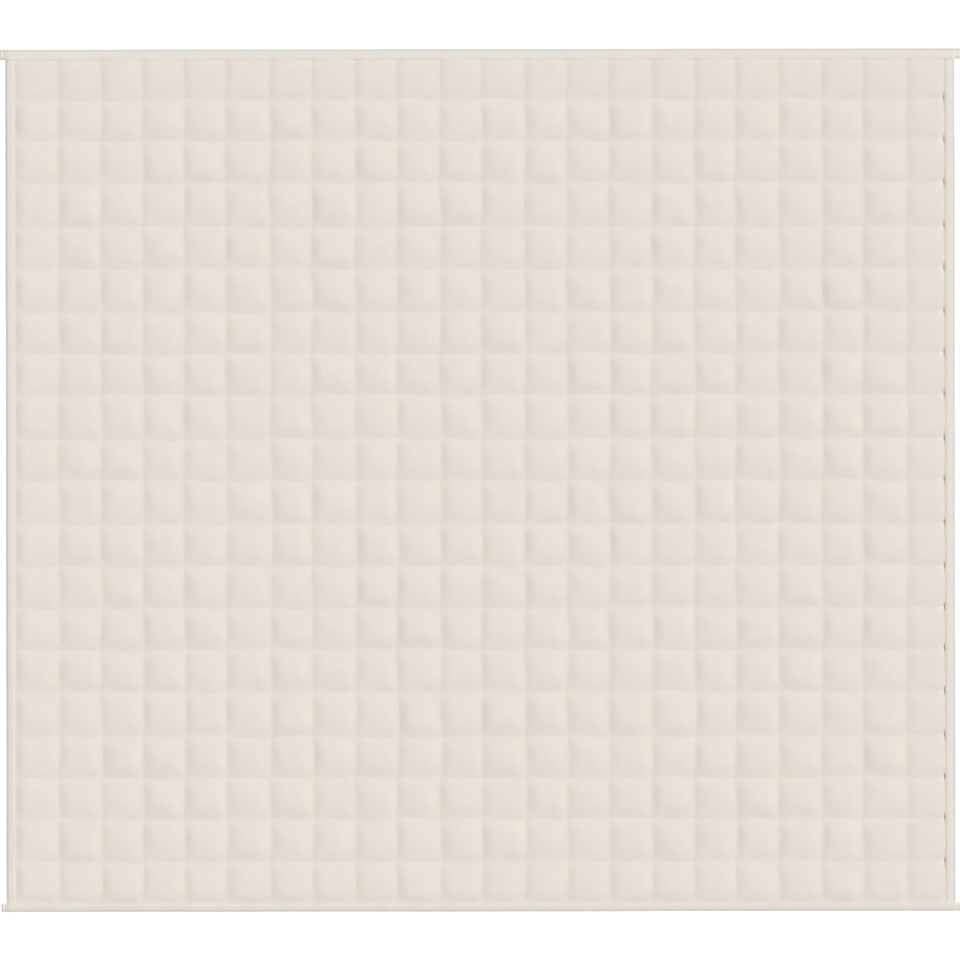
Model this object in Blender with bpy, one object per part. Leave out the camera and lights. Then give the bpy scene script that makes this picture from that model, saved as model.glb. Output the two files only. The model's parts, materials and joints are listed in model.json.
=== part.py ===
"""Weighted blanket, lying flat: a filled panel quilted into squares, with a folded tape bound over each edge.

Run it with blender --background --python part.py, or from Blender's text editor. It is in metres, with +Z up.
X runs along the foot and head edges and Y along the sides, from foot to head. The origin is on the surface that
the blanket lies on, under the middle of the panel.
"""

import math
import random

import bmesh
import bpy

# Finished size, between the outer folds of opposite tapes
WIDTH = 2.200
DEPTH = 2.000

# Quilting: pockets across and down, and the seams between them
COLUMNS = 22
ROWS = 20
PITCH_ACROSS = 0.0982  # 100 mm squares, drawn in by their filling
PITCH_DOWN = 0.0981
SHIFT_ACROSS = 0.0035  # the middle of the quilting lies this far right of the panel's middle
SHIFT_DOWN = 0.0008

# Heights above the surface
SEAM_TOP = 0.0052
SEAM_UNDERSIDE = 0.0032
SHOULDER = 0.0094  # where a pocket's sides turn over into its top
CROWN = 0.0114
UNEVEN_HEIGHT = 0.0007  # how much fuller or flatter one pocket is than another
UNEVEN_PLACE = 0.0070  # how far a pocket's highest point lies from its middle

# How far in from its seams a pocket's top begins, and the flat face that it rests on
SHOULDER_INSET = 0.022
REST_INSET = 0.015

# The panel's pressed margin, which the tapes are folded over
MARGIN_TOP = 0.0042
MARGIN_UNDERSIDE = 0.0018
CLEARANCE = 0.0003  # between one piece and the next

# Tapes: how much of each one's width shows, and how far the head and foot tapes run out past the sides
HEAD_TAPE = 0.0262
FOOT_TAPE = 0.0225
LEFT_TAPE = 0.0231
RIGHT_TAPE = 0.0272
HEAD_TAB = 0.0130
FOOT_TAB = 0.0120

# Section of a tape
FOLD_RADIUS = 0.0031
FOLD_WALL = 0.0020  # from the outer fold in to the margin's edge
BULGE = 0.0069
SEWN_EDGE = 0.0052  # height of the upper edge, where its stitches pull it down
UNEVEN_EDGE = 0.0005  # how far the upper edge strays from a straight line

# Materials: base colour and roughness
CREAM_CLOTH = ((0.79, 0.72, 0.66, 1.0), 0.85)
CREAM_TAPE = ((0.78, 0.73, 0.67, 1.0), 0.80)


def clear_scene():
    for old in list(bpy.data.objects):
        bpy.data.objects.remove(old, do_unlink=True)


def make_material(name, finish):
    colour, roughness = finish
    material = bpy.data.materials.new(name)
    material.use_nodes = True
    shader = material.node_tree.nodes["Principled BSDF"]
    shader.inputs["Base Color"].default_value = colour
    shader.inputs["Roughness"].default_value = roughness
    shader.inputs["Metallic"].default_value = 0.0
    material.diffuse_color = colour
    return material


def add_object(name, bm, material, parent):
    mesh = bpy.data.meshes.new(name)
    bmesh.ops.recalc_face_normals(bm, faces=bm.faces)
    bm.to_mesh(mesh)
    bm.free()
    mesh.materials.append(material)
    mesh.shade_smooth()
    mesh.set_sharp_from_angle(angle=math.radians(40.0))
    piece = bpy.data.objects.new(name, mesh)
    bpy.context.scene.collection.objects.link(piece)
    piece.parent = parent
    return piece


def panel_lines(count, pitch, shift, near_tape, far_tape, finished):
    """The panel's lines along one direction: its edge, its tape's stitching, the seams, then tape and edge again."""
    edge = finished / 2 - FOLD_WALL - CLEARANCE
    first = near_tape + CLEARANCE - finished / 2
    last = finished / 2 - far_tape - CLEARANCE
    seams = [shift + pitch * (number - count / 2) for number in range(1, count)]
    return [-edge, first, *seams, last, edge]


def make_face(bm, lines_across, lines_down, seam_height, margin_height, inset):
    """One face of the panel, as a grid on its lines. It gives the pockets' inner faces, inset from their seams."""
    across = len(lines_across) - 1
    down = len(lines_down) - 1
    corners = bmesh.ops.create_grid(bm, x_segments=across, y_segments=down, size=0.5)["verts"]
    pockets = []
    for face in {face for corner in corners for face in corner.link_faces}:
        middle = face.calc_center_median()
        column = math.floor((middle.x + 0.5) * across)
        row = math.floor((middle.y + 0.5) * down)
        if 1 <= column <= COLUMNS and 1 <= row <= ROWS:
            pockets.append((column, row, face))
    pockets = [face for column, row, face in sorted(pockets, key=lambda pocket: pocket[:2])]
    heights = {}
    for corner in corners:
        column = round((corner.co.x + 0.5) * across)
        row = round((corner.co.y + 0.5) * down)
        on_seam = 1 < column < across - 1 and 1 < row < down - 1
        heights[corner] = seam_height if on_seam else margin_height
        corner.co = (lines_across[column], lines_down[row], 0.0)
    bmesh.ops.inset_individual(bm, faces=pockets, thickness=inset, use_even_offset=True)
    for corner, height in heights.items():
        corner.co.z = height
    return pockets


def make_panel(material, parent):
    lines_across = panel_lines(COLUMNS, PITCH_ACROSS, SHIFT_ACROSS, LEFT_TAPE, RIGHT_TAPE, WIDTH)
    lines_down = panel_lines(ROWS, PITCH_DOWN, SHIFT_DOWN, FOOT_TAPE, HEAD_TAPE, DEPTH)
    uneven = random.Random(7)
    bm = bmesh.new()
    pockets = make_face(bm, lines_across, lines_down, SEAM_UNDERSIDE, MARGIN_UNDERSIDE, REST_INSET)
    for vertex in {vertex for face in pockets for vertex in face.verts}:
        vertex.co.z = 0.0
    pockets = make_face(bm, lines_across, lines_down, SEAM_TOP, MARGIN_TOP, SHOULDER_INSET)
    for face in pockets:
        for vertex in face.verts:
            vertex.co.z = SHOULDER + UNEVEN_HEIGHT / 2 * uneven.uniform(-1, 1)
    for crown in bmesh.ops.poke(bm, faces=pockets)["verts"]:
        crown.co.x += UNEVEN_PLACE * uneven.uniform(-1, 1)
        crown.co.y += UNEVEN_PLACE * uneven.uniform(-1, 1)
        crown.co.z = CROWN + UNEVEN_HEIGHT * uneven.uniform(-1, 1)
    bmesh.ops.bridge_loops(bm, edges=[edge for edge in bm.edges if edge.is_boundary])
    return add_object("quilted_panel", bm, material, parent)


def tape_section(width):
    """A folded tape's section, as (distance in from the outer fold, height) points, with a slot for the margin."""
    slot_top = MARGIN_TOP + CLEARANCE
    slot_bottom = MARGIN_UNDERSIDE - CLEARANCE
    fold = [
        (FOLD_RADIUS * (1.0 + math.cos(turn)), FOLD_RADIUS * (1.0 + math.sin(turn)))
        for turn in (math.radians(angle) for angle in (270, 225, 180, 135, 95))
    ]
    upper = [(0.35 * width, BULGE - 0.0003), (0.62 * width, BULGE), (0.86 * width, (BULGE + SEWN_EDGE) / 2)]
    slot = [(width, slot_top), (FOLD_WALL, slot_top), (FOLD_WALL, slot_bottom), (width, slot_bottom)]
    return [(width, 0.0), *fold, *upper, (width, SEWN_EDGE), *slot]


def make_tape(name, width, start, end, middle, turn, material, parent):
    """A tape along its own X, with its outer fold on Y = 0 and its width towards +Y, placed on one edge."""
    bm = bmesh.new()
    section = bm.faces.new([bm.verts.new((start, *point)) for point in tape_section(width)])
    steps = round((end - start) / PITCH_ACROSS)
    step = (end - start) / steps
    bmesh.ops.spin(bm, geom=[section], angle=0.0, steps=steps, axis=(1, 0, 0), dvec=(step, 0, 0))
    uneven = random.Random(name)
    strays = [UNEVEN_EDGE * uneven.random() for _ in range(steps + 1)]
    for vertex in bm.verts:
        if vertex.co.y > 0.8 * width and vertex.co.z > MARGIN_TOP:
            vertex.co.y -= strays[round((vertex.co.x - start) / step)]
    tape = add_object(name, bm, material, parent)
    tape.location = middle
    tape.rotation_euler.z = math.radians(turn)
    return tape


def make_tapes(material, parent):
    head = WIDTH / 2 + HEAD_TAB
    foot = WIDTH / 2 + FOOT_TAB
    below_head = DEPTH / 2 - HEAD_TAPE - CLEARANCE
    above_foot = DEPTH / 2 - FOOT_TAPE - CLEARANCE
    make_tape("binding_foot", FOOT_TAPE, -foot, foot, (0, -DEPTH / 2, 0), 0, material, parent)
    make_tape("binding_right", RIGHT_TAPE, -above_foot, below_head, (WIDTH / 2, 0, 0), 90, material, parent)
    make_tape("binding_head", HEAD_TAPE, -head, head, (0, DEPTH / 2, 0), 180, material, parent)
    make_tape("binding_left", LEFT_TAPE, -below_head, above_foot, (-WIDTH / 2, 0, 0), 270, material, parent)


def main():
    clear_scene()
    blanket = bpy.data.objects.new("weighted_blanket", None)
    bpy.context.scene.collection.objects.link(blanket)
    make_panel(make_material("quilt_cloth", CREAM_CLOTH), blanket)
    make_tapes(make_material("binding_tape", CREAM_TAPE), blanket)


main()
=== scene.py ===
import json
import math
import random

import bpy
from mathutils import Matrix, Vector, noise

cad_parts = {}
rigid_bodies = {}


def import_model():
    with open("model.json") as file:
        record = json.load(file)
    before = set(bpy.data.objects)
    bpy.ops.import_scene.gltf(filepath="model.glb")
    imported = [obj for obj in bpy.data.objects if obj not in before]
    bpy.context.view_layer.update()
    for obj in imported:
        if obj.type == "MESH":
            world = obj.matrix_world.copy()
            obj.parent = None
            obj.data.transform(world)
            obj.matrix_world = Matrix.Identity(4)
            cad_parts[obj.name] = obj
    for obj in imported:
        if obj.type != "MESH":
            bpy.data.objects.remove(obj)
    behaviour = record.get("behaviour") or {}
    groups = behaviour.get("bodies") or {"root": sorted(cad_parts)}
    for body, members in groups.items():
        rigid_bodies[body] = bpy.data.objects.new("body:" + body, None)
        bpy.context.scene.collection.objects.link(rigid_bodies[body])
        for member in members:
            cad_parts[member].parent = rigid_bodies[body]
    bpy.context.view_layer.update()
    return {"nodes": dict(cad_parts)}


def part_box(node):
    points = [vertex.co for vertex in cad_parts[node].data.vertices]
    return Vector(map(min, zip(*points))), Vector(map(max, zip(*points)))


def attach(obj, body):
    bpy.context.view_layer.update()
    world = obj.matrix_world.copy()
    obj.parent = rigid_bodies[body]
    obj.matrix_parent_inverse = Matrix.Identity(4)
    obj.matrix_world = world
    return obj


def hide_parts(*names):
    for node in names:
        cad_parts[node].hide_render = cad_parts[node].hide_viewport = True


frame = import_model()
print("frame loaded:", ", ".join(sorted(frame["nodes"])))

mm = 0.001


def deselectAll():
    for thing in bpy.data.objects:
        thing.select_set(False)


def makeActive(piece):
    deselectAll()
    piece.select_set(True)
    bpy.context.view_layer.objects.active = piece


def applyModifiers(piece):
    makeActive(piece)
    for modifier in list(piece.modifiers):
        bpy.ops.object.modifier_apply(modifier=modifier.name)


def namePiece(name):
    piece = bpy.context.active_object
    piece.name = name
    piece.data.name = name
    return piece


def addGrid(name, facesAcross, facesDown):
    # a flat grid, and for each of its vertices the number of its line across and down
    deselectAll()
    bpy.ops.mesh.primitive_grid_add(x_subdivisions=facesAcross, y_subdivisions=facesDown, size=1.0)
    piece = namePiece(name)
    numbers = []
    for vertex in piece.data.vertices:
        column = round((vertex.co.x + 0.5) * facesAcross)
        row = round((vertex.co.y + 0.5) * facesDown)
        numbers.append((column, row))
    return piece, numbers


def joinPieces(name, pieces):
    deselectAll()
    for piece in pieces:
        piece.select_set(True)
    bpy.context.view_layer.objects.active = pieces[0]
    bpy.ops.object.join()
    return namePiece(name)


def layOutCloth(piece, places):
    # the piece's map holds the flat cloth in metres, so that a weave follows it
    layer = piece.data.uv_layers.active.data
    for loop in piece.data.loops:
        layer[loop.index].uv = places[loop.vertex_index]


def ease(amount):
    amount = min(1.0, max(0.0, amount))
    return amount * amount * (3.0 - 2.0 * amount)


def mix(start, end, amount):
    return start + (end - start) * amount


view = {
    "lens": 200.0,
    "sensor": 36.0,
    "frameWidth": 2.2239,       # metres of floor from side to side
    "middle": (-0.0018, 0.0002),
    "turn": -0.09,              # degrees
}


def addCamera():
    height = view["frameWidth"] * view["lens"] / view["sensor"]
    deselectAll()
    bpy.ops.object.camera_add(location=(view["middle"][0], view["middle"][1], height))
    camera = bpy.context.active_object
    camera.name = "camera"
    camera.rotation_euler = (0.0, 0.0, math.radians(view["turn"]))
    camera.data.lens = view["lens"]
    camera.data.sensor_width = view["sensor"]
    camera.data.clip_end = 100.0
    bpy.context.scene.camera = camera


addCamera()


# where the panel is sewn, and how high the cloth lies there
quilting = {
    "columns": 22,
    "rows": 20,
    "pitchAcross": 98.2 * mm,
    "pitchDown": 98.1 * mm,
    "shiftAcross": 4.1 * mm,
    "shiftDown": -0.1 * mm,
    "seamTop": 4.6 * mm,        # where two seams cross
    "seamUnderside": 2.6 * mm,
    "rimTop": 4.2 * mm,         # at the panel's own edge, inside the tapes
    "rimUnderside": 1.8 * mm,
    # beside each tape, and at most so high just under its edge
    "tapeTop": {"left": 6.3 * mm, "right": 5.2 * mm, "head": 6.4 * mm, "foot": 5.6 * mm},
    "tuckTop": {"left": 7.25 * mm, "right": 5.1 * mm, "head": 7.8 * mm, "foot": 6.7 * mm},
    "tuck": 0.25 * mm,          # how far under it that is
    # how much lower where a seam meets the tape
    "notch": {"left": 0.4 * mm, "right": 4.2 * mm, "head": 0.3 * mm, "foot": 0.4 * mm},
    "notchReach": (5.0 * mm, 7.0 * mm),     # away from the tape, and along it
    "notchUnder": 0.5,          # share of it on the underside
    "seed": 6,
    "unevenLines": 3.0 * mm,    # how far a whole seam lies from its ruled line
    "wander": (5.2 * mm, 5.4 * mm),     # and how far the sewing strays on its way, across and down
    "wanderLength": 0.11,
}

panelLow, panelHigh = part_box("quilted_panel")
tapeInner = {
    "left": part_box("binding_left")[1][0],
    "right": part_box("binding_right")[0][0],
    "foot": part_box("binding_foot")[1][1],
    "head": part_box("binding_head")[0][1],
}
gap = 0.3 * mm                  # from the panel's last line to a tape's edge


def seamLines(count, pitch, shift, low, high):
    inner = [shift + pitch * (number - count / 2) for number in range(1, count)]
    return [low, *inner, high]


def sewnLines(ruled, uneven):
    most = quilting["unevenLines"]
    return [ruled[0], *[line + uneven.uniform(-1, 1) * most for line in ruled[1:-1]], ruled[-1]]


ruledAcross = seamLines(
    quilting["columns"], quilting["pitchAcross"], quilting["shiftAcross"],
    tapeInner["left"] + gap, tapeInner["right"] - gap,
)
ruledDown = seamLines(
    quilting["rows"], quilting["pitchDown"], quilting["shiftDown"],
    tapeInner["foot"] + gap, tapeInner["head"] - gap,
)
sewing = random.Random(quilting["seed"])
seamsAcross = sewnLines(ruledAcross, sewing)
seamsDown = sewnLines(ruledDown, sewing)


def findPocket(seams, place):
    for number in range(len(seams) - 1):
        if place <= seams[number + 1]:
            return number
    return len(seams) - 2


def toTapes(x, y):
    return {
        "left": x - seamsAcross[0], "right": seamsAcross[-1] - x,
        "foot": y - seamsDown[0], "head": seamsDown[-1] - y,
    }


def toSeams(x, y, column, row):
    # distances to the pocket's left, right, lower and upper seams
    return (
        max(0.0, x - seamsAcross[column]), max(0.0, seamsAcross[column + 1] - x),
        max(0.0, y - seamsDown[row]), max(0.0, seamsDown[row + 1] - y),
    )


def straying(x, y):
    # a small sideways shift of the sewing, none at the tapes
    inward = min(toTapes(x, y).values())
    amount = ease(inward / quilting["pitchDown"])
    spot = Vector((x, y, 0.0)) / quilting["wanderLength"]
    return (
        amount * quilting["wander"][0] * noise.noise(spot + Vector((0.0, 0.0, 5.3))),
        amount * quilting["wander"][1] * noise.noise(spot + Vector((0.0, 0.0, 9.8))),
    )


# the filled panel
pocket = {
    "seed": 22,
    "rise": 4.1 * mm,           # crown above its seams
    "unevenRise": 0.22,
    "reachAcross": 18.4 * mm,   # how fast a pocket rises beside its upright seams
    "powerAcross": 1.85,
    "reachDown": 27.0 * mm,     # and beside its level ones
    "powerDown": 2.26,
    "archAcross": 1.2 * mm,     # how far a level seam lifts between two crossings
    "archDown": 1.8 * mm,       # and an upright one
    "archReach": 10.8 * mm,
    "archPower": 1.63,
    "unevenReach": 0.26,
    # beside a tape: shares of the reach, the rise and the arch's reach, and the power there
    "reachBesideTape": {"left": 0.66, "right": 1.0, "head": 0.9, "foot": 0.95},
    "fullBesideTape": {"left": 0.68, "right": 0.4, "head": 0.35, "foot": 0.95},
    "archBesideTape": {"left": 1.0, "right": 1.2, "head": 1.2, "foot": 1.25},
    "powerBesideTape": {"left": 1.4, "right": 1.2, "head": 1.3, "foot": 0.85},
    # shares of the arch and of the rise that are left right at the tape
    "archKept": {"left": 0.35, "right": 0.8, "head": 0.6, "foot": 0.0},
    "riseKept": {"left": 0.0, "right": 0.8, "head": 0.8, "foot": 0.0},
    "lump": 0.36 * mm,
    "lumpSize": 24.0 * mm,
    "upperSteps": (0, 2.2, 5.5, 10.5, 17.5, 27, 40),    # where the cloth's lines lie, mm in from a seam
    "lowerSteps": (0, 6, 15),
    "restInset": 15.0 * mm,
}


# how the filling presses on the cloth
filling = {
    "steps": 10,
    "quality": 4,
    "mass": 0.3,
    "stretch": 12.0,
    "shear": 6.0,
    "bending": 0.2,
    "spare": 0.002,             # share of extra cloth
    "pressure": 0.4,
    "cap": 2.0 * mm,            # how far a point may move
    "share": 0.32,              # how much of that is kept
}


def sideRise(distance, reach, power):
    return 1.0 - math.exp(-((distance / reach) ** power))


def tapesBeside(column, row):
    # the tape on a pocket's left, right, lower and upper side, if there is one
    lastColumn, lastRow = quilting["columns"] - 1, quilting["rows"] - 1
    return (
        "left" if column == 0 else None, "right" if column == lastColumn else None,
        "foot" if row == 0 else None, "head" if row == lastRow else None,
    )


def pocketTraits():
    uneven = random.Random(pocket["seed"])
    traits = {}
    for column in range(quilting["columns"]):
        for row in range(quilting["rows"]):
            full = 1.0 + pocket["unevenRise"] * uneven.uniform(-1, 1)
            reach = [1.0 + pocket["unevenReach"] * uneven.uniform(-1, 1) for side in range(4)]
            power = [pocket["powerAcross"]] * 2 + [pocket["powerDown"]] * 2
            kept = [0.0] * 4
            for number, side in enumerate(tapesBeside(column, row)):
                if side:
                    full *= pocket["fullBesideTape"][side]
                    reach[number] *= pocket["reachBesideTape"][side]
                    power[number] = pocket["powerBesideTape"][side]
                    kept[number] = pocket["riseKept"][side]
            traits[column, row] = {"full": full, "reach": reach, "power": power, "kept": kept}
    return traits


traits = pocketTraits()


def seamHeight(x, y, column, row, topside):
    # the sewn height: lowest where seams cross, lifted between, and up to each tape's
    left, right, below, above = toSeams(x, y, column, row)
    reach, power = pocket["archReach"], pocket["archPower"]
    toSewn = [left, right, below, above]
    sides = [sideRise(distance, reach, power) for distance in toSewn]
    for number, side in enumerate(tapesBeside(column, row)):
        if side:
            sides[number] = mix(pocket["archKept"][side], 1.0, sides[number])
            toSewn[number] = quilting["pitchDown"]      # a tape's line has no seam under it
    arch = pocket["archAcross"] * sides[0] * sides[1] + pocket["archDown"] * sides[2] * sides[3]
    lift, notch = 0.0, 0.0      # the tapes' lifts are added as cubes, so that the higher one leads at a corner
    for side, distance in toTapes(x, y).items():
        distance = max(0.0, distance)
        fromTape = sideRise(distance, reach * pocket["archBesideTape"][side], power)
        arch *= mix(pocket["archKept"][side], 1.0, fromTape)
        near = 1.0 - ease(distance / quilting["pitchDown"])
        lift += ((quilting["tapeTop"][side] - quilting["seamTop"]) / mm * near) ** 3
        toSeam = min(toSewn[2:]) if side in ("left", "right") else min(toSewn[:2])
        spread = (distance / quilting["notchReach"][0]) ** 2 + (toSeam / quilting["notchReach"][1]) ** 2
        notch = max(notch, quilting["notch"][side] * math.exp(-spread))
    if topside:
        return quilting["seamTop"] + lift ** (1 / 3) * mm + arch - notch
    return quilting["seamUnderside"] + arch - quilting["notchUnder"] * notch


def upperHeight(x, y, column, row):
    trait = traits[column, row]
    share = 1.0
    for number, distance in enumerate(toSeams(x, y, column, row)):
        reach = pocket["reachAcross"] if number < 2 else pocket["reachDown"]
        side = sideRise(distance, reach * trait["reach"][number], trait["power"][number])
        share *= mix(trait["kept"][number], 1.0, side)
    lump = noise.noise(Vector((x, y, 2.2)) / pocket["lumpSize"]) * pocket["lump"]
    return seamHeight(x, y, column, row, True) + share * (pocket["rise"] * trait["full"] + lump)


def lowerHeight(x, y, column, row):
    nearest = min(toSeams(x, y, column, row))
    return seamHeight(x, y, column, row, False) * (1.0 - ease(nearest / pocket["restInset"]))


def pocketShares(steps):
    # the lines over one pocket, as shares of its width, from one seam up to the next
    near = [step * mm / quilting["pitchAcross"] for step in steps]
    far = [1.0 - share for share in reversed(near)]
    return (near + far)[:-1]


def sheetLines(low, seams, high, shares):
    # two lines lie under each tape, the cloth's own edge and one just inside the tape's
    lines = [low, seams[0] - quilting["tuck"]]
    for start, end in zip(seams, seams[1:]):
        lines += [start + (end - start) * share for share in shares]
    return [*lines, seams[-1], seams[-1] + quilting["tuck"], high]


def tucked(column, row, columns, rows):
    # the tape over this vertex, if any
    if column < 2:
        return "left"
    if column > columns - 3:
        return "right"
    if row < 2:
        return "foot"
    return "head" if row > rows - 3 else None


def makeSheet(name, shares, height, rim, topside):
    # one cloth of the panel; its sewn vertices are pinned when it is filled
    linesAcross = sheetLines(panelLow[0], seamsAcross, panelHigh[0], shares)
    linesDown = sheetLines(panelLow[1], seamsDown, panelHigh[1], shares)
    flatAcross = sheetLines(panelLow[0], ruledAcross, panelHigh[0], shares)
    flatDown = sheetLines(panelLow[1], ruledDown, panelHigh[1], shares)
    sheet, numbers = addGrid(name, len(linesAcross) - 1, len(linesDown) - 1)
    places, sewn = [], []
    for vertex, (column, row) in zip(sheet.data.vertices, numbers):
        x, y = linesAcross[column], linesDown[row]
        across = min(max(column - 2, 0) // len(shares), quilting["columns"] - 1)
        down = min(max(row - 2, 0) // len(shares), quilting["rows"] - 1)
        shiftX, shiftY = straying(x, y)
        z = height(x, y, across, down)
        side = tucked(column, row, len(linesAcross), len(linesDown))
        if side and topside:
            z = min(z, quilting["tuckTop"][side])
        if column in (0, len(linesAcross) - 1) or row in (0, len(linesDown) - 1):
            z = rim
        vertex.co = (x + shiftX, y + shiftY, z)
        places.append((flatAcross[column], flatDown[row]))
        if side or (column - 2) % len(shares) == 0 or (row - 2) % len(shares) == 0:
            sewn.append(vertex.index)
    layOutCloth(sheet, places)
    return sheet, sewn


def fillCloth(sheet, sewn):
    # the filling pushes the cloth out between its seams, and its spare length creases there
    held = sheet.vertex_groups.new(name="sewn")
    held.add(sewn, 1.0, "REPLACE")
    flat = [vertex.co.copy() for vertex in sheet.data.vertices]
    makeActive(sheet)
    press = sheet.modifiers.new("press", "CLOTH")
    press.settings.quality = filling["quality"]
    press.settings.mass = filling["mass"]
    press.settings.tension_stiffness = filling["stretch"]
    press.settings.compression_stiffness = filling["stretch"]
    press.settings.shear_stiffness = filling["shear"]
    press.settings.bending_stiffness = filling["bending"]
    press.settings.vertex_group_mass = "sewn"
    press.settings.shrink_min = -filling["spare"]
    press.settings.use_pressure = True
    press.settings.uniform_pressure_force = filling["pressure"]
    press.settings.effector_weights.gravity = 0.0
    for step in range(1, filling["steps"] + 1):
        bpy.context.scene.frame_set(step)
    bpy.ops.object.modifier_apply(modifier="press")
    bpy.context.scene.frame_set(1)
    sheet.vertex_groups.clear()
    most, total = 0.0, 0.0
    for vertex, start in zip(sheet.data.vertices, flat):
        moved = vertex.co - start
        most, total = max(most, moved.length), total + moved.length
        if moved.length > filling["cap"]:
            moved *= filling["cap"] / moved.length
        vertex.co = start + moved * filling["share"]
    average = total / len(flat)
    print("cloth filled: moved", round(most / mm, 2), "mm at most,", round(average / mm, 2), "mm on average")


def makePanel():
    upper, sewn = makeSheet(
        "upperCloth", pocketShares(pocket["upperSteps"]), upperHeight, quilting["rimTop"], True
    )
    fillCloth(upper, sewn)
    lower = makeSheet(
        "lowerCloth", pocketShares(pocket["lowerSteps"]), lowerHeight, quilting["rimUnderside"], False
    )[0]
    panel = joinPieces("quiltedPanel", [upper, lower])
    bpy.ops.object.mode_set(mode="EDIT")
    bpy.ops.mesh.select_mode(type="EDGE")
    bpy.ops.mesh.select_all(action="DESELECT")
    bpy.ops.mesh.select_non_manifold(
        extend=False, use_wire=False, use_multi_face=False, use_non_contiguous=False
    )
    bpy.ops.mesh.bridge_edge_loops()
    bpy.ops.mesh.select_all(action="SELECT")
    bpy.ops.mesh.normals_make_consistent(inside=False)
    bpy.ops.mesh.select_all(action="DESELECT")
    bpy.ops.object.mode_set(mode="OBJECT")
    bpy.ops.object.shade_smooth()
    return panel


quiltedPanel = makePanel()
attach(quiltedPanel, "root")
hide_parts("quilted_panel")
print("panel made:", len(quiltedPanel.data.polygons), "faces")


# the tapes, folded over the edges; a section runs from the lower sewn edge round the fold to the upper one
tape = {
    "thick": 0.45 * mm,
    "step": 6.0 * mm,           # from one line of faces to the next, closer at its ends
    "endSteps": (0, 0.4, 1.2, 2.2, 3.2, 4.5, 6.0, 7.5, 9.0, 11.0, 13.5, 16.0, 19.0),     # mm
    "spans": 2,                 # faces between two points of a section
    "stitchInset": 2.2,         # mm from the sewn edge
    # the layer below: shares of the width from the fold, and of the height
    "under": ((1.00, 0.06), (0.88, 0.03), (0.60, 0.0), (0.22, 0.0), (0.06, 0.07)),
    # the layer above: mm in from the fold, and up
    "left": (
        (0, 4.2), (0.5, 5.2), (1.2, 5.62), (2.2, 5.92), (3.2, 6.28), (4.4, 6.82), (5.8, 7.24), (7.4, 7.5),
        (9.6, 7.8), (13.0, 8.3), (16.0, 8.46), (18.2, 8.38), (20.6, 8.06), (22.0, 7.94), (23.1, 7.92),
    ),
    "right": (
        (0, 3.4), (1.05, 6.3), (2.3, 7.8), (3.5, 8.12), (5.8, 8.28), (9.3, 8.5), (14.0, 8.62), (16.5, 8.6),
        (18.3, 8.53), (19.6, 8.43), (20.9, 8.24), (22.2, 7.93), (23.5, 7.47), (25.0, 6.82), (27.2, 5.75),
    ),
    "head": (
        (0, 3.4), (1.1, 6.4), (2.4, 7.95), (3.6, 8.3), (6.0, 8.5), (10.0, 8.65), (15.5, 8.7), (19.0, 8.66),
        (22.2, 8.55), (24.1, 8.5), (26.2, 8.42),
    ),
    "foot": (
        (0, 3.0), (0.6, 4.1), (1.4, 4.6), (2.5, 4.9), (3.8, 5.22), (5.6, 5.68), (8.8, 6.5), (12.2, 7.25),
        (15.7, 7.6), (17.7, 7.5), (19.8, 7.32), (22.5, 7.38),
    ),
    # mm in from the fold, where the painted shade along it is darkest
    "paintedShadeInset": {"left": 3.95, "right": 4.7, "head": 4.8, "foot": 4.3},
    # how it strays from straight: how far, over what length, and which layer of the noise
    "foldStray": (0.6 * mm, 0.19, 0.0),
    "edgeStray": (0.6 * mm, 0.05, 4.0),
    "crestWave": (0.35 * mm, 0.11, 8.0),
    "edgePucker": (0.22 * mm, 0.013, 0.0),
    "calmEnd": (20.0 * mm, 30.0 * mm),      # none of it so close to an end, and all of it so much further in
    # how far the edge dips and draws back where a seam runs under it
    "seamDip": {"left": 0.45 * mm, "right": 0.0, "head": 0.8 * mm, "foot": 0.45 * mm},
    "dipReach": 5.0 * mm,
    "dipShare": (0.88, 0.16),   # of the width: where it is deepest, and how far it spreads
    "seamPull": {"left": 0.0, "right": 1.6 * mm, "head": 0.0, "foot": 0.0},
    "pullReach": 6.0 * mm,
    "tuck": 3.0 * mm,           # how far a side tape runs on under the head and foot tapes
    "flatEnd": (3.5 * mm, 20.0 * mm),       # pressed flat so far in, and over what length it rises again
    "tuckGap": (0.1 * mm, 0.2 * mm),        # that it keeps to the layer below, and to the one above
}


# past the sides the head and foot tapes end in tabs
tab = {
    "length": {"head": 13.0 * mm, "foot": 12.0 * mm},
    # mm in from its end, and share of the height; those on the right are plainer
    "head": (
        (0, 0.5), (1.2, 0.66), (3.2, 0.80), (4.5, 0.79), (7.2, 0.64), (9.5, 0.74), (12.5, 0.80), (19, 1.0),
    ),
    "foot": (
        (0, 0.5), (1.2, 0.62), (3.0, 0.80), (4.6, 0.88), (6.5, 0.80), (8.8, 0.68), (13.5, 0.92), (18, 1.0),
    ),
    "plain": ((0, 0.5), (1.0, 0.66), (2.4, 0.79), (7.0, 0.82), (12.5, 0.86), (19, 1.0)),
    "closing": (1.0 * mm, 5.0 * mm),        # closed from so far past the side, and open so much further in
    "open": 0.78,               # share of its width that stays open
    "middle": 0.34,             # share of its height where they meet
    "turnedIn": 2.2 * mm,       # length of its rounded end
    "corner": (3.0 * mm, 1.4 * mm),         # how long and how deep its corners are
    "sewnCorner": 0.6,          # share of that at the sewn edge
}


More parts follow.
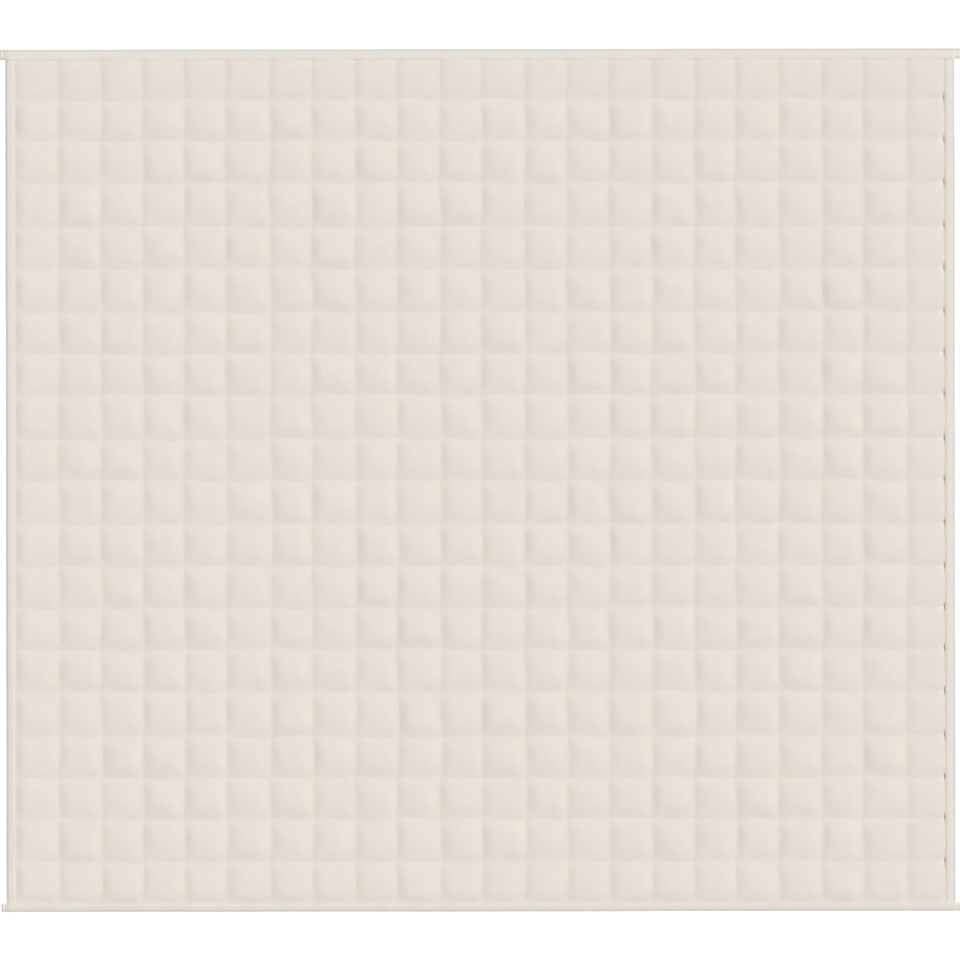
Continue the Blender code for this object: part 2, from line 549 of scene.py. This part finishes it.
def rounded(points, spans):
    # a smooth line through the points
    line = []
    for number in range(len(points) - 1):
        before, start = points[max(0, number - 1)], points[number]
        end, after = points[number + 1], points[min(len(points) - 1, number + 2)]
        for span in range(spans):
            t = span / spans
            line.append(tuple(
                0.5 * (
                    2.0 * s + (e - b) * t + (2.0 * b - 5.0 * s + 4.0 * e - a) * t * t
                    + (3.0 * s - b - 3.0 * e + a) * t * t * t
                )
                for b, s, e, a in zip(before, start, end, after)
            ))
    return [*line, points[-1]]


def between(table, place):
    # straight between the table's points, and level past its ends
    if place <= table[0][0]:
        return table[0][1]
    for (start, low), (end, high) in zip(table, table[1:]):
        if place <= end:
            return mix(low, high, (place - start) / (end - start))
    return table[-1][1]


def tapeSection(side, width):
    crest = max(height for inset, height in tape[side]) * mm
    below = [(share * width, height * crest) for share, height in tape["under"]]
    above = [(inset * width / tape[side][-1][0], height * mm) for inset, height in tape[side]]
    section = rounded(below + above, tape["spans"])
    return [(across, max(0.0, height)) for across, height in section], crest


def strays(kind, spot):
    most, length, layer = tape[kind]
    return most * noise.noise(spot / length + Vector((0.0, 0.0, layer)))


class Tape:
    # one tape along its edge: origin is on the outer fold, and a place is measured along from it
    def __init__(self, side, along, inward, seams):
        low, high = (Vector(corner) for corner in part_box("binding_" + side))
        self.side = side
        self.along, self.inward, self.seams = along, inward, seams
        self.width = abs((high - low).dot(inward))
        self.origin = Vector((
            low.x if side == "left" else high.x if side == "right" else 0.0,
            low.y if side == "foot" else high.y if side == "head" else 0.0,
            0.0,
        ))
        self.start, self.end = low.dot(along), high.dot(along)
        self.tabs = side in ("head", "foot")
        if not self.tabs:
            self.start -= tape["tuck"]
            self.end += tape["tuck"]
        self.section, self.crest = tapeSection(side, self.width)

    def places(self):
        ends = [step * mm for step in tape["endSteps"]]
        inner = (self.end - ends[-1]) - (self.start + ends[-1])
        steps = round(inner / tape["step"])
        middle = [self.start + ends[-1] + inner * step / steps for step in range(1, steps)]
        return [self.start + step for step in ends] + middle + [self.end - step for step in reversed(ends)]

    def point(self, across, height, place):
        # where a point of the flat section lies once the tape is sewn on
        share = across / self.width
        upper = ease((height / self.crest - 0.15) / 0.4)    # none in the layer below, all in the one above
        toEnd = min(place - self.start, self.end - place)
        spot = Vector((place, 3.0 * ord(self.side[0]), 0.0))        # each tape has its own line of the noise
        inside = ease((toEnd - tape["calmEnd"][0]) / tape["calmEnd"][1])
        across += strays("foldStray", spot) * (1.0 - share) * inside
        across -= strays("edgeStray", spot) * share * share * inside
        height += upper * inside * strays("crestWave", spot) * math.sin(math.pi * share)
        height += upper * inside * strays("edgePucker", spot) * ease((share - 0.5) / 0.4)
        toSeam = min(abs(place - seam) for seam in self.seams)
        deepest, spread = tape["dipShare"]
        dip = math.exp(-((toSeam / tape["dipReach"]) ** 2) - ((share - deepest) / spread) ** 2)
        height -= upper * tape["seamDip"][self.side] * dip
        pull = math.exp(-((toSeam / tape["pullReach"]) ** 2)) * share ** 4
        across -= upper * tape["seamPull"][self.side] * pull
        if self.tabs:
            return self.tabPoint(across, height, place, share, toEnd)
        pressed = 1.0 - ease((toEnd - tape["flatEnd"][0]) / tape["flatEnd"][1])
        other = "head" if place > 0.0 else "foot"
        floor = tape["thick"] + tape["tuckGap"][0]
        roof = tape[other][-1][1] * mm - tape["thick"] - tape["tuckGap"][1]
        flat = floor + (roof - floor) * height / self.crest
        return self.lay(across, mix(height, flat, pressed), place)

    def tabPoint(self, across, height, place, share, toEnd):
        # past the side the tape is thinner, its two layers meet, and its end is turned in and closed
        factor = between(tab["plain" if place > 0.0 else self.side], toEnd / mm)
        height *= factor
        past = 1.0 - ease((toEnd - tab["length"][self.side] + tab["closing"][0]) / tab["closing"][1])
        closing = past * ease((share - tab["open"]) / (1.0 - tab["open"]))
        middle = tab["middle"] * self.crest * factor
        layer = tape["thick"] * (1.0 if height > middle else -1.0)
        height = mix(height, middle + layer, closing)
        turn = min(1.0, toEnd / tab["turnedIn"])
        height = mix(middle, height, math.sqrt(1.0 - (1.0 - turn) ** 2))
        corner = (1.0 - ease(toEnd / tab["corner"][0])) * tab["corner"][1]
        across = mix(across + corner, across, share) - corner * tab["sewnCorner"] * share
        return self.lay(across, height, place)

    def lay(self, across, height, place):
        return self.origin + self.along * place + self.inward * across + Vector((0.0, 0.0, height))


def makeTape(run):
    places = run.places()
    rows = run.section
    piece, numbers = addGrid(run.side + "Tape", len(places) - 1, len(rows) - 1)
    walked = [0.0]
    for (across, height), (nextAcross, nextHeight) in zip(rows, rows[1:]):
        walked.append(walked[-1] + math.hypot(nextAcross - across, nextHeight - height))
    fold = min(range(len(rows)), key=lambda row: rows[row][0])
    overFold = [(across, step) for (across, height), step in zip(rows[fold:], walked[fold:])]
    # the cloth's map starts across at the line where the tape's painted shade is darkest
    paintedShadeLine = between(overFold, tape["paintedShadeInset"][run.side] * mm)
    flat = []
    for vertex, (column, row) in zip(piece.data.vertices, numbers):
        vertex.co = run.point(*rows[row], places[column])
        flat.append((places[column], walked[row] - paintedShadeLine))
    layOutCloth(piece, flat)
    # the wall is built inwards, so the faces must point out of the fold
    if run.along.cross(run.inward).z < 0.0:
        makeActive(piece)
        bpy.ops.object.mode_set(mode="EDIT")
        bpy.ops.mesh.select_all(action="SELECT")
        bpy.ops.mesh.flip_normals()
        bpy.ops.object.mode_set(mode="OBJECT")
    wall = piece.modifiers.new("wall", "SOLIDIFY")
    wall.thickness = tape["thick"]
    wall.offset = -1.0
    applyModifiers(piece)
    bpy.ops.object.shade_smooth_by_angle(angle=math.radians(50.0))
    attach(piece, "root")
    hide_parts("binding_" + run.side)
    return piece


right, up = Vector((1.0, 0.0, 0.0)), Vector((0.0, 1.0, 0.0))
runs = [
    Tape("head", right, -up, seamsAcross[1:-1]), Tape("foot", right, up, seamsAcross[1:-1]),
    Tape("left", up, right, seamsDown[1:-1]), Tape("right", up, -right, seamsDown[1:-1]),
]
tapes = [makeTape(run) for run in runs]
print("tapes made:", ", ".join(piece.name for piece in tapes))


# the stitches, each a slim spindle of thread
stitch = {
    "length": 3.9 * mm,
    "pitch": 5.0 * mm,
    "width": 0.55 * mm,
    "height": 0.40 * mm,
    "proud": 0.12 * mm,         # how far its middle stands above the cloth
    "tapeUnderside": 0.4 * mm,  # how high the tapes' lower stitches lie
    "tapeEnds": (4.0 * mm, 6.0 * mm),       # how far from its ends a tape with tabs is sewn, and a side tape
}


def addStitchRow(name, start, end):
    # a straight row along X, which layRow then sews on
    count = int((end - start) / stitch["pitch"])
    slack = (end - start) - count * stitch["pitch"]
    deselectAll()
    bpy.ops.mesh.primitive_uv_sphere_add(segments=4, ring_count=2, radius=0.5)
    row = namePiece(name)
    bpy.ops.object.mode_set(mode="EDIT")
    bpy.ops.mesh.select_all(action="SELECT")
    bpy.ops.transform.rotate(value=math.radians(90.0), orient_axis="Y", center_override=(0.0, 0.0, 0.0))
    bpy.ops.transform.resize(value=(stitch["length"], stitch["width"], stitch["height"]))
    bpy.ops.transform.translate(value=(start + slack / 2 + stitch["pitch"] / 2, 0.0, 0.0))
    bpy.ops.object.mode_set(mode="OBJECT")
    repeat = row.modifiers.new("repeat", "ARRAY")
    repeat.use_relative_offset = False
    repeat.use_constant_offset = True
    repeat.constant_offset_displace = (stitch["pitch"], 0.0, 0.0)
    repeat.count = count
    applyModifiers(row)
    return row


def copyRow(row, name):
    makeActive(row)
    bpy.ops.object.duplicate(linked=False)
    return namePiece(name)


def layRow(row, place):
    # place gives, for a distance along the row, the point it is sewn through and the row's sideways direction
    for vertex in row.data.vertices:
        point, sideways = place(vertex.co.x)
        vertex.co = point + sideways * vertex.co.y + Vector((0.0, 0.0, vertex.co.z))


def seamPoint(x, y, topside):
    column, row = findPocket(seamsAcross, x), findPocket(seamsDown, y)
    shiftX, shiftY = straying(x, y)
    height = seamHeight(x, y, column, row, topside)
    height += stitch["proud"] if topside else -stitch["proud"]
    return Vector((x + shiftX, y + shiftY, height))


def sewSeams(name, seams, along, upright, topside):
    # a row for each seam between two pockets, as long as the seams that it crosses are apart
    lines = seams[1:-1]
    first = addStitchRow(name, along[0], along[-1])
    rows = [first] + [copyRow(first, name) for line in lines[1:]]
    for row, line in zip(rows, lines):
        if upright:
            layRow(row, lambda place: (seamPoint(line, place, topside), right))
        else:
            layRow(row, lambda place: (seamPoint(place, line, topside), up))
    return joinPieces(name, rows)


def sewTapes(name, upper):
    rows = []
    for run in runs:
        ends = stitch["tapeEnds"][0 if run.tabs else 1]
        row = addStitchRow(name, run.start + ends, run.end - ends)
        across = run.width - tape["stitchInset"] * mm
        height = stitch["tapeUnderside"]
        if upper:
            height = between(tape[run.side], across / mm) * mm + stitch["proud"]
        layRow(row, lambda place: (run.point(across, height, place), run.inward))
        rows.append(row)
    return joinPieces(name, rows)


stitching = [
    (sewSeams("levelStitches", seamsDown, seamsAcross, False, True), "quilt_cloth"),
    (sewSeams("uprightStitches", seamsAcross, seamsDown, True, True), "quilt_cloth"),
    (sewSeams("levelStitchesUnder", seamsDown, seamsAcross, False, False), "quilt_cloth"),
    (sewSeams("uprightStitchesUnder", seamsAcross, seamsDown, True, False), "quilt_cloth"),
    (sewTapes("tapeStitches", True), "binding_tape"),
    (sewTapes("tapeStitchesUnder", False), "binding_tape"),
]
for piece, slot in stitching:
    makeActive(piece)
    bpy.ops.object.mode_set(mode="EDIT")
    bpy.ops.mesh.select_all(action="SELECT")
    bpy.ops.mesh.normals_make_consistent(inside=False)
    bpy.ops.object.mode_set(mode="OBJECT")
    bpy.ops.object.shade_smooth()
    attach(piece, "root")
print("stitches sewn:", sum(len(piece.data.vertices) for piece, slot in stitching) // 6)    # six points each


# finishes
cloth = {
    "quilt": (0.676, 0.622, 0.576),
    "tape": (0.672, 0.629, 0.580),
    "thread": (0.685, 0.628, 0.575),
    "mottle": 0.085,            # how far each colour strays from patch to patch
    "mottleScale": 23.0,
    "slub": 0.05,               # how much lighter or darker one thread is than another
    "slubsPerMetre": (40.0, 900.0),     # along the thread, and from thread to thread
    # painted shade along each tape's rounded fold, as a colour multiplied into the cloth
    "paintedFoldShade": (0.85, 0.862, 0.874),
    "paintedFoldShadeWidth": (0.7 * mm, 2.6 * mm),  # all of that painted shade so near the line where it is darkest, none from there on
    # painted shade in the valleys beside the seams, a little warm, as a colour multiplied into the cloth
    "paintedSeamShade": (0.980, 0.963, 0.947),
    "seamShade": (1.0, 0.4),            # how much of that painted shade an upright seam has, and a level one
    "crossingShare": 0.6,               # how much less where they cross
    "seamShadeReach": 14.0 * mm,
    "roughness": 0.88,
    "sheen": 0.25,
    "threadPitch": 0.42 * mm,
    "threadHeight": 0.05 * mm,
    "slubHeight": 0.06 * mm,
    "puckerHeight": 0.45 * mm,
    "puckerReach": 7.0 * mm,
    "puckersPerMetre": (28.0, 120.0),   # away from the seam, and along it
    "creaseDepth": 0.15 * mm,
    "creaseReach": 1.3 * mm,
}


def newMaterial(name):
    material = bpy.data.materials.new(name)
    material.use_nodes = True
    return material, material.node_tree


def addMath(tree, operation, first, second=None):
    step = tree.nodes.new("ShaderNodeMath")
    step.operation = operation
    for socket, value in zip(step.inputs, (first, second)):
        if value is None:
            continue
        if isinstance(value, (int, float)):
            socket.default_value = value
        else:
            tree.links.new(value, socket)
    return step.outputs[0]


def addNoise(tree, coordinates, across, down, detail):
    # a noise with its own scale each way
    mapping = tree.nodes.new("ShaderNodeMapping")
    mapping.inputs["Scale"].default_value = (across, down, 1.0)
    tree.links.new(coordinates, mapping.inputs["Vector"])
    texture = tree.nodes.new("ShaderNodeTexNoise")
    texture.inputs["Scale"].default_value = 1.0
    texture.inputs["Detail"].default_value = detail
    tree.links.new(mapping.outputs["Vector"], texture.inputs["Vector"])
    return texture.outputs["Fac"]


def addBump(tree, height, distance, under=None):
    bump = tree.nodes.new("ShaderNodeBump")
    bump.inputs["Distance"].default_value = distance
    bump.inputs["Strength"].default_value = 1.0
    tree.links.new(height, bump.inputs["Height"])
    if under:
        tree.links.new(under, bump.inputs["Normal"])
    return bump.outputs["Normal"]


def weaveHeight(tree, coordinates, pitch):
    # two crossed bands, warp and weft, loosened by a little noise; at a scale of 1 they are tau / 20 apart
    bands = []
    for direction in ("X", "Y"):
        wave = tree.nodes.new("ShaderNodeTexWave")
        wave.wave_type = "BANDS"
        wave.bands_direction = direction
        wave.inputs["Scale"].default_value = math.tau / (20.0 * pitch)
        wave.inputs["Distortion"].default_value = 1.4
        wave.inputs["Detail"].default_value = 1.0
        wave.inputs["Detail Scale"].default_value = 0.6
        tree.links.new(coordinates, wave.inputs["Vector"])
        bands.append(wave.outputs["Fac"])
    return addMath(tree, "MULTIPLY", *bands)


def seamDistance(tree, coordinate, shift, pitch):
    # how far the flat cloth is from its nearest ruled seam
    counted = addMath(tree, "DIVIDE", addMath(tree, "SUBTRACT", coordinate, shift), pitch)
    inPocket = addMath(tree, "FRACT", counted)
    fromMiddle = addMath(tree, "ABSOLUTE", addMath(tree, "SUBTRACT", inPocket, 0.5))
    return addMath(tree, "MULTIPLY", addMath(tree, "SUBTRACT", 0.5, fromMiddle), pitch)


def fade(tree, distance, reach):
    return addMath(tree, "EXPONENT", addMath(tree, "DIVIDE", distance, -reach))


def clothMaterial(name, colour):
    material, tree = newMaterial(name)
    shader = tree.nodes["Principled BSDF"]
    shader.inputs["Roughness"].default_value = cloth["roughness"]
    shader.inputs["Sheen Weight"].default_value = cloth["sheen"]
    shader.inputs["Sheen Roughness"].default_value = 0.5
    shader.inputs["Specular IOR Level"].default_value = 0.2
    flat = tree.nodes.new("ShaderNodeTexCoord").outputs["UV"]
    # faint change of colour over the cloth, and threads a little lighter or darker than others
    mottle = tree.nodes.new("ShaderNodeTexNoise")
    mottle.inputs["Scale"].default_value = cloth["mottleScale"]
    mottle.inputs["Detail"].default_value = 2.0
    tree.links.new(flat, mottle.inputs["Vector"])
    spread = tree.nodes.new("ShaderNodeVectorMath")
    spread.operation = "MULTIPLY_ADD"
    tree.links.new(mottle.outputs["Color"], spread.inputs[0])
    spread.inputs[1].default_value = [cloth["mottle"]] * 3
    spread.inputs[2].default_value = [1.0 - cloth["mottle"] / 2] * 3
    blend = tree.nodes.new("ShaderNodeMix")
    blend.data_type = "RGBA"
    blend.blend_type = "MULTIPLY"
    blend.inputs["Factor"].default_value = 1.0
    blend.inputs["A"].default_value = (*colour, 1.0)
    tree.links.new(spread.outputs["Vector"], blend.inputs["B"])
    slow, fast = cloth["slubsPerMetre"]
    streaks = addMath(tree, "ADD", addNoise(tree, flat, slow, fast, 2.0), addNoise(tree, flat, fast, slow, 2.0))
    lighter = addMath(tree, "MULTIPLY", streaks, cloth["slub"])
    tint = tree.nodes.new("ShaderNodeHueSaturation")
    tree.links.new(addMath(tree, "ADD", lighter, 1.0 - cloth["slub"]), tint.inputs["Value"])
    tree.links.new(blend.outputs["Result"], tint.inputs["Color"])
    tree.links.new(tint.outputs["Color"], shader.inputs["Base Color"])
    normal = addBump(tree, streaks, cloth["slubHeight"])
    weave = weaveHeight(tree, flat, cloth["threadPitch"])
    normal = addBump(tree, weave, cloth["threadHeight"], normal)
    tree.links.new(normal, shader.inputs["Normal"])
    return material, tree, flat


def multiplyColour(tree, colour, amount):
    # the shader's colour so far, times another one where amount says
    shader = tree.nodes["Principled BSDF"]
    product = tree.nodes.new("ShaderNodeMix")
    product.data_type = "RGBA"
    product.blend_type = "MULTIPLY"
    product.inputs["B"].default_value = (*colour, 1.0)
    tree.links.new(amount, product.inputs["Factor"])
    tree.links.new(shader.inputs["Base Color"].links[0].from_socket, product.inputs["A"])
    tree.links.new(product.outputs["Result"], shader.inputs["Base Color"])


def quiltMaterial():
    # the same cloth, puckered and creased along its seams, with painted shade darkening it beside them
    material, tree, flat = clothMaterial("quiltCloth", cloth["quilt"])
    split = tree.nodes.new("ShaderNodeSeparateXYZ")
    tree.links.new(flat, split.inputs[0])
    toUpright = seamDistance(tree, split.outputs["X"], quilting["shiftAcross"], quilting["pitchAcross"])
    toLevel = seamDistance(tree, split.outputs["Y"], quilting["shiftDown"], quilting["pitchDown"])
    # painted shade beside each seam, fading with distance from it, and less where two seams cross
    near = []
    for distance in (toUpright, toLevel):
        far = addMath(tree, "DIVIDE", distance, cloth["seamShadeReach"])
        squared = addMath(tree, "MULTIPLY", far, far)
        near.append(addMath(tree, "EXPONENT", addMath(tree, "MULTIPLY", squared, -1.0)))
    shaded = []
    for here, crossing, amount in zip(near, reversed(near), cloth["seamShade"]):
        less = addMath(tree, "MULTIPLY", crossing, cloth["crossingShare"])
        kept = addMath(tree, "MULTIPLY", here, addMath(tree, "SUBTRACT", 1.0, less))
        shaded.append(addMath(tree, "MULTIPLY", kept, amount))
    multiplyColour(tree, cloth["paintedSeamShade"], addMath(tree, "MAXIMUM", *shaded))
    away, along = cloth["puckersPerMetre"]
    puckers = []
    for distance, across, down in ((toUpright, away, along), (toLevel, along, away)):
        ripple = addNoise(tree, flat, across, down, 1.0)
        puckers.append(addMath(tree, "MULTIPLY", ripple, fade(tree, distance, cloth["puckerReach"])))
    shader = tree.nodes["Principled BSDF"]
    normal = shader.inputs["Normal"].links[0].from_socket
    normal = addBump(tree, addMath(tree, "ADD", *puckers), cloth["puckerHeight"], normal)
    creases = addMath(
        tree, "MAXIMUM",
        fade(tree, toUpright, cloth["creaseReach"]), fade(tree, toLevel, cloth["creaseReach"]),
    )
    normal = addBump(tree, addMath(tree, "SUBTRACT", 1.0, creases), cloth["creaseDepth"], normal)
    tree.links.new(normal, shader.inputs["Normal"])
    return material


def tapeMaterial():
    # the same cloth, darkened by painted shade along a line near its fold
    material, tree, flat = clothMaterial("tapeCloth", cloth["tape"])
    split = tree.nodes.new("ShaderNodeSeparateXYZ")
    tree.links.new(flat, split.inputs[0])
    # painted shade: full within the first width of that line, gone past the second
    paintedFoldMask = tree.nodes.new("ShaderNodeMapRange")
    paintedFoldMask.interpolation_type = "SMOOTHSTEP"
    paintedFoldMask.inputs["From Min"].default_value = cloth["paintedFoldShadeWidth"][0]
    paintedFoldMask.inputs["From Max"].default_value = cloth["paintedFoldShadeWidth"][1]
    paintedFoldMask.inputs["To Min"].default_value = 1.0
    paintedFoldMask.inputs["To Max"].default_value = 0.0
    tree.links.new(addMath(tree, "ABSOLUTE", split.outputs["Y"]), paintedFoldMask.inputs["Value"])
    multiplyColour(tree, cloth["paintedFoldShade"], paintedFoldMask.outputs["Result"])
    return material


def threadMaterial():
    material, tree = newMaterial("sewingThread")
    shader = tree.nodes["Principled BSDF"]
    shader.inputs["Base Color"].default_value = (*cloth["thread"], 1.0)
    shader.inputs["Roughness"].default_value = 0.6
    shader.inputs["Specular IOR Level"].default_value = 0.3
    place = tree.nodes.new("ShaderNodeTexCoord").outputs["Object"]
    twist = tree.nodes.new("ShaderNodeTexWave")
    twist.bands_direction = "DIAGONAL"
    twist.inputs["Scale"].default_value = 900.0
    tree.links.new(place, twist.inputs["Vector"])
    tree.links.new(addBump(tree, twist.outputs["Fac"], 0.05 * mm), shader.inputs["Normal"])
    return material


def dress(piece, material):
    piece.data.materials.clear()
    piece.data.materials.append(material)


dress(quiltedPanel, quiltMaterial())
tapeCloth = tapeMaterial()
for piece in tapes:
    dress(piece, tapeCloth)
thread = threadMaterial()
for piece, slot in stitching:
    dress(piece, thread)
print("finishes put on")


studio = {
    "floorSize": 80.0,
    "floorColour": (0.92, 0.92, 0.92, 1.0),
    "floorGlow": 0.6,           # the white floor is lit from below, so that shadows stay faint
    "sunAzimuth": 30.5,         # degrees from the right towards the head
    "sunElevation": 66.0,
    "sunStrength": 3.62,
    "sunAngle": 30.0,
    "skyStrength": 0.14,
}


def addFloor():
    deselectAll()
    bpy.ops.mesh.primitive_plane_add(size=studio["floorSize"], location=(0.0, 0.0, -0.2 * mm))
    floor = namePiece("floor")
    material, tree = newMaterial("paleFloor")
    shader = tree.nodes["Principled BSDF"]
    shader.inputs["Base Color"].default_value = studio["floorColour"]
    shader.inputs["Roughness"].default_value = 0.9
    shader.inputs["Specular IOR Level"].default_value = 0.0
    shader.inputs["Emission Color"].default_value = (1.0, 1.0, 1.0, 1.0)
    shader.inputs["Emission Strength"].default_value = studio["floorGlow"]
    floor.data.materials.append(material)


def addLight():
    deselectAll()
    bpy.ops.object.light_add(type="SUN", location=(3.0, 2.0, 3.0))
    sun = bpy.context.active_object
    sun.name = "softSun"
    sun.data.energy = studio["sunStrength"]
    sun.data.angle = math.radians(studio["sunAngle"])
    azimuth = math.radians(studio["sunAzimuth"])
    elevation = math.radians(studio["sunElevation"])
    towards = Vector((
        math.cos(elevation) * math.cos(azimuth), math.cos(elevation) * math.sin(azimuth), math.sin(elevation)
    ))
    sun.rotation_euler = towards.to_track_quat("Z", "Y").to_euler()
    world = bpy.data.worlds.new("studio")
    world.use_nodes = True
    world.node_tree.nodes["Background"].inputs["Color"].default_value = (1.0, 1.0, 1.0, 1.0)
    world.node_tree.nodes["Background"].inputs["Strength"].default_value = studio["skyStrength"]
    bpy.context.scene.world = world
    bpy.context.scene.view_settings.view_transform = "Standard"


addFloor()
addLight()
print("floor and light set")
